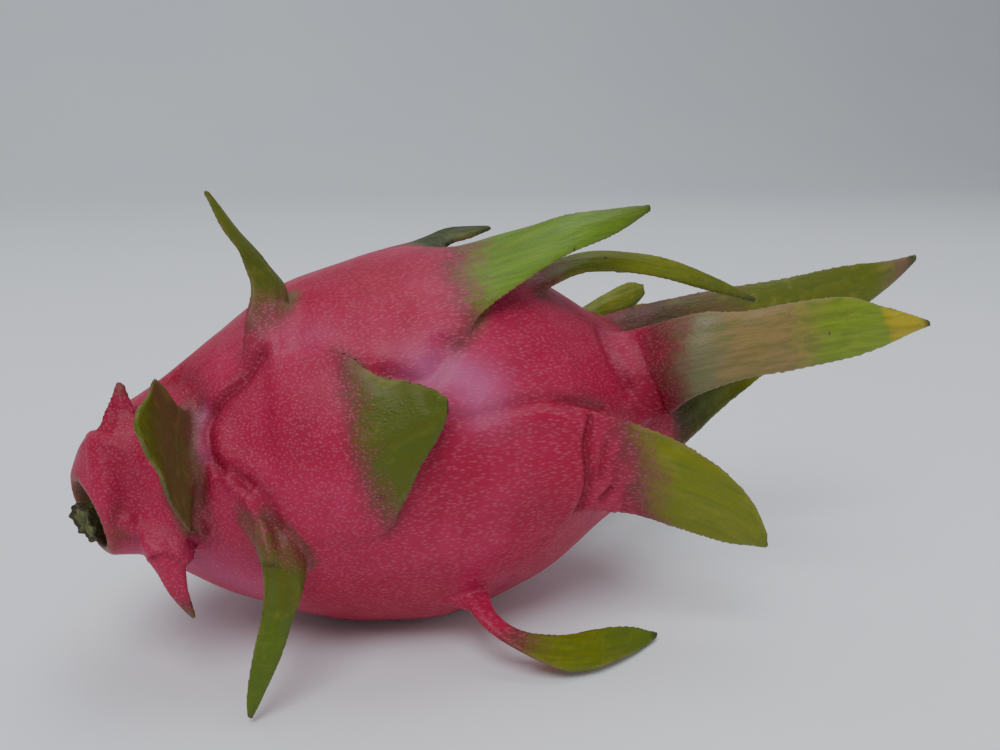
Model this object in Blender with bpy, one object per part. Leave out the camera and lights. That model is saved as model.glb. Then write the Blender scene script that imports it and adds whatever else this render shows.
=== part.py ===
"""A whole red dragon fruit lying on its side, stem end towards -X and crown towards +X.

The skin and its leafy scales grew as one piece, so they are one solid. The cut stub of the
cactus stem and the withered flower are pieces of their own. Metres, +Z up.
"""
import math

import bmesh
import bpy
import numpy as np
from mathutils import Vector

MM = 0.001

# The frame stands at the middle of the whole fruit, scales and all.
SHIFT = Vector((-34.4, 1.6, 0.0))

# Body: distance along the fruit and radius of the skin there, from the stem dish to the navel.
BODY_PROFILE = (
    (-61.5, 0.0), (-61.6, 5.0), (-64.6, 6.8), (-64.2, 9.0), (-62.5, 11.6), (-58.0, 13.9),
    (-50.0, 18.2), (-38.0, 26.8), (-24.0, 34.9), (-8.0, 39.6), (8.0, 40.6), (22.0, 37.9),
    (36.0, 31.4), (47.0, 24.8), (56.0, 20.6), (62.0, 17.0), (65.5, 12.6), (65.8, 8.8),
    (63.0, 7.4), (59.0, 6.6), (57.2, 5.0), (57.0, 0.0),
)
BODY_HEIGHT = 39.5          # height of the middle of the body
BODY_TILT = 0.033           # rise of the crown end
BODY_ARCH = 0.00074         # both ends droop
BODY_BEND = 0.000028        # the stem end curves towards -Y
BODY_RISE = 0.05            # the stem end lifts beyond BODY_NECK
BODY_NECK = -36.0
HEAD_SHIFT = (-5.5, -4.0)   # the stem dish sits low and towards -Y on the stem end
HEAD_LEAN = (0.32, 0.25)    # the stem dish leans: its -Y side and its lower side step back
DISH_RADIUS = 7.0           # rings up to this size move with the dish
HEAD_RADIUS = 15.0          # rings up to this size follow it in part
BODY_ROUND = 44             # sides of the body
BODY_STEPS = 41             # rings of the body
FLAT_BELOW = 8.0            # depth of the block that cuts the resting flat

# Stem stub and withered flower.
STUB_LENGTH = 5.0
STUB_RADIUS = 4.1
FLOWER_LENGTH = 15.0
FLOWER_RADIUS = 5.2
GAP = 0.3                   # clearance between touching pieces

# Scales. Each row along the midrib is the point in millimetres, then the half width as a
# vector across the scale. The first row is buried in the body.
SCALES = {
    "stem_left": dict(thick=(4.5, 1.4), cup=-0.12, rows=(
        (-41, -16, 42, 0, 6, 12), (-47, -25, 44, 0, 4.5, 11), (-51, -31, 51.7, -0.5, 2.6, 11.4),
        (-54, -35.5, 55, -0.5, 1.2, 5.5), (-56, -38, 57, -0.2, 0.5, 1.2))),
    "stem_top": dict(thick=(5.0, 1.6), cup=0.15, rows=(
        (-57, -8, 41, -5, 6, 0), (-58.5, -15, 46, -4.5, 4.5, 0.5), (-58, -14.5, 51.5, -3.4, 1.5, 0),
        (-57.5, -12.5, 55.5, -1.8, 0.6, 0.2), (-57.5, -11, 58.3, -0.5, 0.2, 0))),
    "stem_low": dict(thick=(4.0, 1.3), cup=0.15, rows=(
        (-50, -19, 33, -5, 3, 0), (-52, -25, 28.5, -3.9, 1.8, 0.7), (-51, -27, 24, -2.6, 0.9, 0.6),
        (-49.5, -27.5, 19.5, -1.6, 0.5, 0.4), (-47.5, -27, 15.3, -0.4, 0.2, 0.1))),
    "stem_back": dict(thick=(4.0, 1.3), cup=0.15, rows=(
        (-50, 4, 38, 2, 4, -4), (-47, 13, 41, 2, 3.5, -5), (-43.5, 20, 45, 1.5, 2, -4.5),
        (-40, 26, 49, 0.6, 0.8, -1.4))),
    "tall": dict(thick=(5.0, 1.3), cup=0.1, rows=(
        (-31.5, -19, 55, -5, 1, -1), (-30, -14.5, 68.5, -4.6, -2, 0), (-28.5, -9.5, 75.5, -3.9, -3.3, 0.7),
        (-31.5, -9.5, 81, -2.6, -3, 0.8), (-35.5, -10, 87, -1.6, -2, 0.4),
        (-39.8, -10, 94.2, -0.4, -0.5, 0.1))),
    "front": dict(thick=(5.0, 1.4), cup=0.12, rows=(
        (-27, -27, 48, -2, 5.5, 15), (-17, -33, 48.5, -3, 6, 16.5), (-12.5, -38, 50.5, -1.6, 4.2, 12),
        (-8, -40.5, 53.5, -0.2, 3, 8), (-4.5, -41.8, 55.5, 0.3, 2, 4.6),
        (-1.8, -41.8, 57, 0.1, 0.4, 1.2))),
    "hanging": dict(thick=(4.6, 1.4), cup=0.15, rows=(
        (-33, -27, 35, -5, 0, 4), (-32, -33.5, 29, -4.7, 0.3, 3.4), (-32.3, -37, 23.5, -3.5, 0.4, 1.8),
        (-34, -39.5, 18.5, -3, 0, 0.8), (-36.5, -41, 12, -2.5, 0, 0.9), (-39, -42, 5, -1.4, 0, 0.6),
        (-40, -42.2, 1.2, -0.4, 0, 0.2))),
    "lying": dict(thick=(4.2, 1.4), cup=0.1, rows=(
        (6, -24, 17, 4, 2, -1), (7.5, -32.5, 13.5, 3, 1.2, 0), (8.2, -39, 11, 1.9, 0.6, 0.5),
        (12.6, -43, 8, 1.8, 1.4, 0.7), (20, -45, 5.2, 2, 3.6, 1.4), (29, -44.6, 3.8, 2.8, 4.8, 1.8),
        (39, -42, 2.3, 1.8, 3.4, 1.2), (46.5, -40, 1.4, 0.4, 0.7, 0.2))),
    "far_top": dict(thick=(4.0, 1.3), cup=0.1, rows=(
        (-3, 6, 73.5, -1, 6, 0), (5.5, 7, 77.8, -2, 5.5, 0.4), (11.5, 8, 80.8, -0.6, 4.4, 1),
        (19, 9, 82.8, 0.4, 3, 1), (26, 9.4, 83.8, 0, 0.8, 0.2))),
    "upper": dict(thick=(5.5, 1.5), cup=0.12, rows=(
        (-6, -15, 66, 1, 15, 6), (4, -16.5, 71.8, 2.4, 15.5, 7.2), (13.5, -17.5, 77, 4, 11, 6),
        (23.5, -19, 82, 2.6, 6.6, 4.6), (33, -20, 85.4, 1.6, 4, 3.6), (43.5, -20, 88.2, 0.8, 2, 2.4),
        (51, -20, 90.4, 0.2, 0.5, 0.6))),
    "long": dict(thick=(4.6, 1.4), cup=0.12, rows=(
        (21, -9, 70, 3, 6, 2), (31, -10.5, 74.8, 3, 5.6, 1.8), (40, -11.5, 78, 1.8, 2.8, 1.9),
        (50, -13, 78, 1.5, 2, 2), (60, -14.5, 76, 1.2, 1.6, 2), (71, -15.6, 72.6, 0.9, 1.1, 1.5),
        (82.3, -16, 68.4, 0.2, 0.3, 0.4))),
    "far_small": dict(thick=(3.6, 1.3), cup=0.12, rows=(
        (38, 4, 58, 1, 3, 2.5), (47.5, 5, 61.5, 1, 2.6, 2.4), (55, 5.8, 64.8, 1, 2.4, 2.8),
        (62, 6.4, 67, 0.8, 2.2, 2.9), (65.8, 6.8, 68, 0.2, 0.8, 1.2))),
    "crown_far": dict(thick=(5.5, 1.5), cup=0.12, rows=(
        (44, -1, 56, 1, 5, 5), (58.5, -3.5, 59.2, 1.2, 4.6, 6), (79, -4.5, 61.6, 1.5, 4.2, 7),
        (97.5, -6.5, 64.2, 1.2, 3.6, 7), (116, -8, 68.5, 0.3, 3, 5.4), (128, -8.4, 72, 0.9, 1.6, 3.2),
        (136.3, -8, 75.6, 0.2, 0.4, 0.8))),
    "crown_front": dict(thick=(5.5, 1.5), cup=0.12, rows=(
        (40, -15, 51.5, -3, 6, 9), (51, -21.5, 54.5, -2, 5, 9), (58, -30, 60, 0.8, 1.8, 9),
        (67, -33.5, 62.2, 0.4, 1.4, 7.4), (77, -36.5, 64, -0.4, 0.5, 7.6), (90, -39, 66, -1.6, 0, 7),
        (99, -41, 66.4, -1.8, 0, 4.4), (105, -42, 66.6, -0.9, 0, 2.2), (109.5, -42.5, 66.5, -0.2, 0, 0.6))),
    "crown_inner": dict(thick=(5.0, 1.4), cup=-0.1, rows=(
        (46, -15, 38, 0, 3, 6), (57.5, -16, 39.3, -0.4, 0, 6), (63.7, -19, 43.5, 0.2, 1, 6.5),
        (73.4, -19, 49.5, 0.2, 1, 5.2), (82.6, -19.5, 54.2, 0.4, 1, 3.3), (90.3, -20, 57.6, 0.2, 0.5, 2),
        (97.4, -20, 59, -0.2, 0, 0.9))),
    "crown_low": dict(thick=(5.5, 1.6), cup=0.1, rows=(
        (14, -28, 42, -3.5, 2, 11), (25, -34.5, 42, -4.6, 0, 12.2), (36.5, -37.5, 40, -4.4, -1, 11.8),
        (48, -41.5, 35.8, -2.4, -0.6, 10.8), (58, -44.5, 31.2, -2, -0.5, 9), (64.5, -46.5, 26.6, -1, -0.4, 5.4),
        (67.6, -47, 23.2, -0.3, 0, 1.8))),
    "crown_back": dict(thick=(5.5, 1.5), cup=0.12, rows=(
        (38, 20, 50, 1, 7, -10), (50, 25, 52, 1, 6.5, -9), (66, 32, 52.5, 0, 5, -8.4),
        (82, 38, 52.5, -1, 3.5, -6.6), (94, 41, 53.5, -1, 1.6, -3.6), (101, 42, 55, -0.3, 0.4, -0.8))),
    "crown_back_low": dict(thick=(5.5, 1.5), cup=0.12, rows=(
        (38, 18, 27, 0, -8, -9), (49, 23, 26, 0, -7, -8), (63, 31, 22, 0, -5.4, -7),
        (76, 37, 18, 0, -3.6, -5), (87, 41, 14.5, 0, -0.8, -1))),
    "back_high": dict(thick=(5.0, 1.4), cup=0.12, rows=(
        (-30, 24, 52, 5, 5, -7), (-20, 31, 56, 4, 5.5, -7.5), (-10, 37, 60, 3, 4, -6),
        (-2, 41, 63, 1.6, 2, -3.2), (4, 43, 65, 0.4, 0.5, -0.8))),
    "back_mid": dict(thick=(5.0, 1.4), cup=0.12, rows=(
        (2, 35, 34, 2, 1, -13), (15, 38.5, 34, 1, 1, -12), (26, 42, 36, 0, 0.6, -8.6),
        (34, 44.5, 38, 0, 0.4, -4.6), (39, 46, 39.5, 0, 0.1, -1))),
    "back_low": dict(thick=(5.0, 1.4), cup=0.12, rows=(
        (-39, 15, 30, -3, -5, -7), (-31, 27, 25.5, -2, -6, -8), (-20, 35, 22, -1, -4.5, -6),
        (-11, 40, 18, -0.5, -2.4, -3.2), (-5, 42, 15, 0, -0.5, -0.8))),
    "back_foot": dict(thick=(4.6, 1.4), cup=0.1, rows=(
        (6, 23, 15, 4, 2, -4), (11, 31, 9, 3.2, 3, -3), (19, 38, 5.4, 2, 4.6, -1.6),
        (29, 42, 3.4, 0, 4.8, -0.8), (38, 43.5, 1.4, -0.2, 0.9, -0.2))),
}
SCALE_STEPS = 10            # rings along a scale
SCALE_HALF_SIDES = 5        # points across each face of a scale


def clear_scene():
    for thing in list(bpy.data.objects):
        bpy.data.objects.remove(thing, do_unlink=True)


def make_material(name, colour, roughness):
    material = bpy.data.materials.new(name)
    material.use_nodes = True
    shader = material.node_tree.nodes["Principled BSDF"]
    shader.inputs["Base Color"].default_value = (*colour, 1.0)
    shader.inputs["Roughness"].default_value = roughness
    return material


def centre_height(x):
    """Height of the body's centre line."""
    rise = BODY_RISE * max(0.0, BODY_NECK - x) ** 1.3
    return BODY_HEIGHT + BODY_TILT * x - BODY_ARCH * (x - 3.5) ** 2 + rise


def centre_side(x):
    """Sideways place of the body's centre line."""
    return -BODY_BEND * max(0.0, 3.5 - x) ** 3


def centre(x):
    return Vector((x, centre_side(x), centre_height(x))) + SHIFT


def dish_share(x, radius):
    """How far a ring of the stem end follows the stem dish, from 0 to 1."""
    if x > BODY_NECK:
        return 0.0
    return min(1.0, max(0.0, (HEAD_RADIUS - radius) / (HEAD_RADIUS - DISH_RADIUS)))


def dish_shift(x, radius):
    """Sideways move of a ring of the stem end."""
    return Vector((0.0, *HEAD_SHIFT)) * dish_share(x, radius)


def smooth_rows(rows, count):
    """Even samples of a Catmull-Rom curve through the rows."""
    keys = np.array(rows, dtype=float)
    ends = np.vstack([2 * keys[0] - keys[1], keys, 2 * keys[-1] - keys[-2]])
    out = []
    for u in np.linspace(0.0, len(keys) - 1.0, count):
        i = min(int(u), len(keys) - 2)
        t = u - i
        a, b, c, d = ends[i:i + 4]
        out.append(b + 0.5 * t * (c - a + t * (2 * a - 5 * b + 4 * c - d
                                               + t * (3 * (b - c) + d - a))))
    return np.array(out)


def mesh_object(name, rings, material=None):
    """A closed body skinned over rings of points; a ring of one point closes an end."""
    bm = bmesh.new()
    made = [[bm.verts.new(Vector(p) * MM) for p in ring] for ring in rings]
    for low, high in zip(made, made[1:]):
        sides = max(len(low), len(high))
        for k in range(sides):
            j = (k + 1) % sides
            if len(low) == 1:
                bm.faces.new((low[0], high[k], high[j]))
            elif len(high) == 1:
                bm.faces.new((low[k], high[0], low[j]))
            else:
                bm.faces.new((low[k], high[k], high[j], low[j]))
    bmesh.ops.recalc_face_normals(bm, faces=bm.faces)
    if bm.calc_volume(signed=True) < 0:
        bmesh.ops.reverse_faces(bm, faces=bm.faces)
    for face in bm.faces:
        face.smooth = True
    mesh = bpy.data.meshes.new(name)
    bm.to_mesh(mesh)
    bm.free()
    thing = bpy.data.objects.new(name, mesh)
    bpy.context.scene.collection.objects.link(thing)
    if material:
        mesh.materials.append(material)
    return thing


def body_rings():
    """Rings of the skin from the stem dish round to the bottom of the navel."""
    rows = smooth_rows([(x, r, 0.0) for x, r in BODY_PROFILE], BODY_STEPS)
    rings = []
    for x, r, _ in rows:
        middle = centre(x) + dish_shift(x, r)
        if r < 0.05:
            rings.append([middle])
            continue
        lean = [step * dish_share(x, r) for step in HEAD_LEAN]
        ring = []
        for k in range(BODY_ROUND):
            turn = 2 * math.pi * k / BODY_ROUND
            side, rise = r * math.cos(turn), r * math.sin(turn)
            ring.append(middle + Vector((-lean[0] * side - lean[1] * rise, side, rise)))
        rings.append(ring)
    rings[0] = [sum(rings[0], Vector()) / len(rings[0])]
    rings[-1] = [sum(rings[-1], Vector()) / len(rings[-1])]
    return rings


def scale_rings(rows, thick, cup):
    """Rings of one scale: a thick buried root thinning to a leafy tip."""
    samples = smooth_rows(rows, SCALE_STEPS)
    rings = []
    for i, row in enumerate(samples):
        before = samples[max(i - 1, 0)]
        after = samples[min(i + 1, SCALE_STEPS - 1)]
        point = Vector(row[:3]) + SHIFT
        across = Vector(row[3:])
        along = Vector(after[:3] - before[:3])
        out = across.cross(along).normalized()
        if out.dot(Vector((0.0, point.y, point.z - centre_height(row[0])))) < 0:
            out = -out
        share = i / (SCALE_STEPS - 1)
        depth = 0.5 * (thick[0] + (thick[1] - thick[0]) * min(1.0, share * 1.5))
        bend = cup * across.length
        face, back = [], []
        for k in range(SCALE_HALF_SIDES):
            v = -1 + 2 * (k + 0.5) / SCALE_HALF_SIDES
            lens = depth * (1 - abs(v) ** 3)
            level = point + across * v + out * bend * (1 - 2 * v * v)
            face.append(level + out * lens)
            back.append(level - out * lens)
        rings.append(face + back[::-1])
    root = sum(rings[0], Vector()) / len(rings[0])
    tip = Vector(samples[-1][:3]) + SHIFT
    lead = Vector(samples[-1][:3] - samples[-2][:3]).normalized()
    return [[root]] + rings + [[tip + lead * 0.8]]


def combine(target, other, operation):
    """Boolean step that keeps the other body as a hidden cutter."""
    step = target.modifiers.new(other.name, "BOOLEAN")
    step.operation = operation
    step.solver = "EXACT"
    step.object = other
    other.hide_render = True
    other.display_type = "WIRE"


def build_fruit():
    skin = make_material("Dragon fruit skin", (0.56, 0.03, 0.09), 0.45)
    fruit = mesh_object("fruit", body_rings(), skin)
    for name, spec in SCALES.items():
        rings = scale_rings(spec["rows"], spec["thick"], spec["cup"])
        combine(fruit, mesh_object("scale_" + name, rings), "UNION")
    bpy.ops.mesh.primitive_cube_add(size=1.0)
    block = bpy.context.object
    block.name = "resting_cut"
    for vertex in block.data.vertices:
        vertex.co.x *= 300 * MM
        vertex.co.y *= 200 * MM
        vertex.co.z = (vertex.co.z - 0.5) * FLAT_BELOW * MM
    combine(fruit, block, "DIFFERENCE")


def build_stub():
    """A short woody stub, three sided like the cactus stem it was cut from."""
    bark = make_material("Cut stem", (0.16, 0.17, 0.05), 0.8)
    base = centre(-61.5) + dish_shift(-61.5, 0.0) - Vector((GAP, 0.0, 0.0))
    floor = Vector((-1.0, *(-step for step in HEAD_LEAN))).normalized()
    heading = Vector((-0.8, -0.52, -0.25)).normalized()
    rings = [[base]]
    for share, size in ((0.0, 0.86), (0.25, 0.84), (0.55, 0.9), (0.85, 1.08), (1.0, 1.02), (0.9, 0.78)):
        lead = floor.lerp(heading, share).normalized()
        side = lead.cross(Vector((0.0, 0.0, 1.0))).normalized()
        up = side.cross(lead)
        ring = []
        for k in range(18):
            turn = 2 * math.pi * k / 18
            r = STUB_RADIUS * size * (1 + 0.1 * share * math.cos(3 * turn + 0.4))
            offset = side * math.cos(turn) * r + up * math.sin(turn) * r * 1.1
            ring.append(base + lead * STUB_LENGTH * share + offset)
        rings.append(ring)
    rings.append([base + heading * STUB_LENGTH * 0.82])
    mesh_object("stem_stub", rings, bark)


def build_flower():
    """The shrivelled flower that stays in the navel: a crumpled tube with a torn rim."""
    paper = make_material("Withered flower", (0.10, 0.045, 0.02), 0.85)
    base = centre(57.0) + Vector((GAP, 0.0, 0.0))
    rings = [[base]]
    outline = ((0.0, 0.62), (0.3, 0.74), (0.55, 0.82), (0.78, 1.0), (1.0, 1.3), (0.94, 1.0), (0.7, 0.5))
    for share, size in outline:
        ring = []
        for k in range(20):
            turn = 2 * math.pi * k / 20
            fold = 1 + 0.16 * share ** 2 * math.cos(5 * turn) + 0.07 * share * math.cos(3 * turn + 1)
            torn = 1.3 * share ** 3 * math.sin(4 * turn + 0.6)
            r = FLOWER_RADIUS * size * fold
            ring.append(base + Vector((FLOWER_LENGTH * share + torn, r * math.cos(turn) - 1.5 * share,
                                       r * math.sin(turn) - 0.5 * share)))
        rings.append(ring)
    rings.append([base + Vector((FLOWER_LENGTH * 0.5, -0.8, -0.3))])
    mesh_object("dried_flower", rings, paper)


clear_scene()
build_fruit()
build_stub()
build_flower()
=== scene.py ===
"""Looks for a whole red dragon fruit: waxy speckled skin that flows into leafy green scales,
a cut stem stub and a withered flower. Lengths in the design tables are millimetres."""
import math

import bmesh
import bpy
import numpy as np
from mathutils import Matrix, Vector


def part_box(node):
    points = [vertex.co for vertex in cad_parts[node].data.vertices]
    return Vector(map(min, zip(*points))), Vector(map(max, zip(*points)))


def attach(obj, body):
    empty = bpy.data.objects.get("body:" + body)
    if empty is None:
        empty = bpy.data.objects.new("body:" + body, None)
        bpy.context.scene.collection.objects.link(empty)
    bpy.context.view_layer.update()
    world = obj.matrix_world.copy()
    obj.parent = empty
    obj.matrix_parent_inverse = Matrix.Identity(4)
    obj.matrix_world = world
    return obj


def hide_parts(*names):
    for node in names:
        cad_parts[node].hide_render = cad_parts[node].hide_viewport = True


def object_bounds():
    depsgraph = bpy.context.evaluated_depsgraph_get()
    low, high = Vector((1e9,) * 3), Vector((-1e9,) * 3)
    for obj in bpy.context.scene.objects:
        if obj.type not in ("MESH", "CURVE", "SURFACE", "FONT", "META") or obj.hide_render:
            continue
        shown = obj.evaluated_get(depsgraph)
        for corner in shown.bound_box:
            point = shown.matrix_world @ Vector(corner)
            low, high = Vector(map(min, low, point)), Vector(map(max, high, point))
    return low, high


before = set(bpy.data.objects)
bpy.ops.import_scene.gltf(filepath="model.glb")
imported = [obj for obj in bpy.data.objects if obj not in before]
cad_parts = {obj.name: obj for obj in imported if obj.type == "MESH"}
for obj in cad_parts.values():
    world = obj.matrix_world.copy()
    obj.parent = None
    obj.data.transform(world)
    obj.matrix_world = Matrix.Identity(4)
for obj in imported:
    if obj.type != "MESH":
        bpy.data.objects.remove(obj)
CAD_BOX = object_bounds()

import openvdb
from mathutils import Vector
from mathutils.kdtree import KDTree

MM = 0.001
VOXEL = 0.42      # millimetres

# The design tables put the fruit's lowest CAD corner here, which ties them to the frame.
CAD_CORNER = np.array((-67.54, -48.91, 0.0))
SHIFT = np.array(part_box("fruit")[0]) / MM - CAD_CORNER
rng = np.random.default_rng(7)

# ---------------------------------------------------------------- design tables (mm)

# Distance along the fruit and radius of the skin there, from the stem dish to the navel.
BODY_PROFILE = (
    (-61.5, 0.0), (-61.6, 5.0), (-64.6, 6.8), (-64.2, 9.0), (-62.5, 11.6), (-58.0, 13.9),
    (-50.0, 18.2), (-38.0, 26.8), (-24.0, 34.9), (-8.0, 39.6), (8.0, 40.6), (22.0, 37.9),
    (36.0, 31.4), (47.0, 24.8), (56.0, 20.6), (62.0, 17.0), (65.5, 12.6), (65.8, 8.8),
    (63.0, 7.4), (59.0, 6.6), (57.2, 5.0), (57.0, 0.0),
)
BODY_HEIGHT = 39.5          # height of the middle of the body
BODY_TILT = 0.033           # rise of the crown end
BODY_ARCH = 0.00074         # both ends droop
BODY_BEND = 0.000028        # the stem end curves towards -Y
BODY_RISE = 0.05            # the stem end lifts beyond BODY_NECK
BODY_NECK = -36.0
HEAD_SHIFT = np.array((0.0, -5.5, -4.0))    # place of the stem dish on the stem end
HEAD_LEAN = (0.32, 0.25)    # its -Y side and its lower side step back
DISH_RADIUS = 7.0           # rings up to this size move with the dish
HEAD_RADIUS = 15.0          # rings up to this size follow it in part
RIM_THICKNESS = 1.05        # of a scale's margin
MOUND_HEIGHT = 0.9          # of the skin under a scale
MOUND_LIMIT = 1.8           # where mounds meet
LIP_SHARE = 0.22            # height of the lips beside a groove, as a share of its depth
LIP_FROM = 0.55             # depth from which a groove has lips
CARVE_REACH = 7.0           # how far off the plain skin the grooves still show
SKIN_BAND = 7.0             # reach of the body's distance field
SCALE_BAND = 5.0            # and of a scale's
SMOOTH_TURNS = 12

FOREST = (0.020, 0.024, 0.000)
SPRING = (0.130, 0.240, 0.010)
WINE = (0.060, 0.020, 0.010)
ROSE = (0.160, 0.080, 0.055)
OLIVE = (0.105, 0.118, 0.004)
MOSS = (0.085, 0.092, 0.002)
GRASS = (0.085, 0.130, 0.004)
LEAF = (0.190, 0.265, 0.016)
YELLOW = (0.165, 0.180, 0.004)
PALE = (0.230, 0.230, 0.100)
GREY = (0.190, 0.160, 0.085)
TAN = (0.255, 0.165, 0.060)
AMBER = (0.400, 0.310, 0.010)
BROWN = (0.120, 0.065, 0.025)
DARK = (0.030, 0.024, 0.010)

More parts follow.
